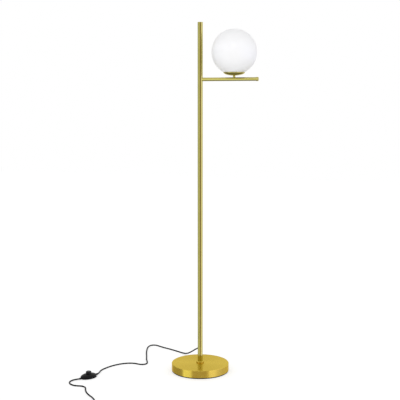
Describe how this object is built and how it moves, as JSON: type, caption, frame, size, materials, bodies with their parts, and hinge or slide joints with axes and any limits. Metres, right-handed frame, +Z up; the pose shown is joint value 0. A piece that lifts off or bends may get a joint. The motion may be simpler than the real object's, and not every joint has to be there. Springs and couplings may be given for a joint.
{
  "type": "globe floor lamp",
  "caption": "Tall slim gold-coloured floor lamp: round weighted base, tubular pole, short side arm with a white glass globe on a dish, black cord with foot switch.",
  "frame": {"origin": "centre of the base's underside, on the floor", "axes": "+Z up along the pole, +X along the arm towards its capped end, +Y to the arm's left side seen from above"},
  "size_m": [0.7192, 0.9655, 1.508],
  "materials": {
    "gold_plate": "polished gold-coloured plate under clear lacquer",
    "opal_glass": "satin-gloss opal white glass",
    "black_rubber": "matt",
    "cast_iron": "rough cast",
    "zinc_steel": "zinc plated",
    "clear_silicone": "translucent",
    "holder_plastic": "moulded",
    "holder_ceramic": "unglazed",
    "contact_brass": "stamped",
    "bulb_cap_nickel": "nickel plated, rolled thread",
    "bulb_glass_frosted": "frosted",
    "black_pvc": "soft moulded, slight sheen",
    "pin_nickel": "nickel plated",
    "black_plastic": "moulded, fine satin texture",
    "button_plastic": "moulded, semi-gloss"
  },
  "bodies": {
    "root": {"base_pad": "black_rubber", "base_weight": "cast_iron", "base_cover": "gold_plate", "base_washer": "zinc_steel", "base_nut": "zinc_steel", "base_stud": "zinc_steel", "pole_collar": "gold_plate", "pole_lower": "gold_plate", "pole_middle": "gold_plate", "pole_upper": "gold_plate", "pole_coupler_lower": "zinc_steel", "pole_coupler_upper": "zinc_steel", "pole_cap": "gold_plate", "arm_tube": "gold_plate", "arm_end_cap": "gold_plate", "arm_thread_block": "zinc_steel", "stem_nipple": "zinc_steel", "stem_sleeve": "gold_plate", "dish": "gold_plate", "dish_nut": "zinc_steel", "gallery": "gold_plate", "gallery_nut": "zinc_steel", "globe_gasket": "clear_silicone", "lampholder_base": "holder_plastic", "lampholder_core": "holder_ceramic", "lampholder_shell": "contact_brass", "lampholder_contact": "contact_brass", "lampholder_skirt": "holder_plastic", "inner_lead": "black_pvc", "cord_boot": "black_pvc", "cord_lamp_side": "black_pvc", "cord_plug_side": "black_pvc", "cord_coil": "black_pvc", "cord_tail": "black_pvc", "plug_body": "black_pvc", "plug_pins": "pin_nickel", "switch_upper": "black_plastic", "switch_lower": "black_plastic", "switch_pads": "black_rubber", "switch_screws": "zinc_steel", "switch_spring": "zinc_steel", "switch_terminals": "contact_brass", "switch_nub_lamp": "black_pvc", "switch_nub_plug": "black_pvc"},
    "foot_button": {"switch_button": "button_plastic"},
    "globe_lift": {"globe_collar": "gold_plate"},
    "globe": {"globe_glass": "opal_glass"},
    "bulb_lift": {"bulb_cap": "bulb_cap_nickel"},
    "bulb": {"bulb_glass": "bulb_glass_frosted"}
  },
  "joints": [
    {"name": "foot_button_press", "type": "slide", "parent": "root", "child": "foot_button", "axis": [0, 0, -1], "range_m": [0, 0.0035], "stiffness_N_per_m": 400, "springref_m": -0.002, "deforming": ["switch_spring"]},
    {"name": "globe_unscrew_lift", "type": "slide", "parent": "root", "child": "globe_lift", "axis": [0, 0, 1], "range_m": [0, 0.008]},
    {"name": "globe_unscrew_turn", "type": "hinge", "parent": "globe_lift", "child": "globe", "pos_m": [0.151, 0, 1.3819], "axis": [0, 0, 1], "range_deg": [0, 720]},
    {"name": "bulb_unscrew_lift", "type": "slide", "parent": "root", "child": "bulb_lift", "axis": [0, 0, 1], "range_m": [0, 0.01448]},
    {"name": "bulb_unscrew_turn", "type": "hinge", "parent": "bulb_lift", "child": "bulb", "pos_m": [0.151, 0, 1.38], "axis": [0, 0, 1], "range_deg": [0, 1440]}
  ],
  "couplings": [
    {"joint": "globe_unscrew_turn", "follows": "globe_unscrew_lift", "rad_per_m": 1570.8},
    {"joint": "bulb_unscrew_turn", "follows": "bulb_unscrew_lift", "rad_per_m": 1735.7}
  ]
}
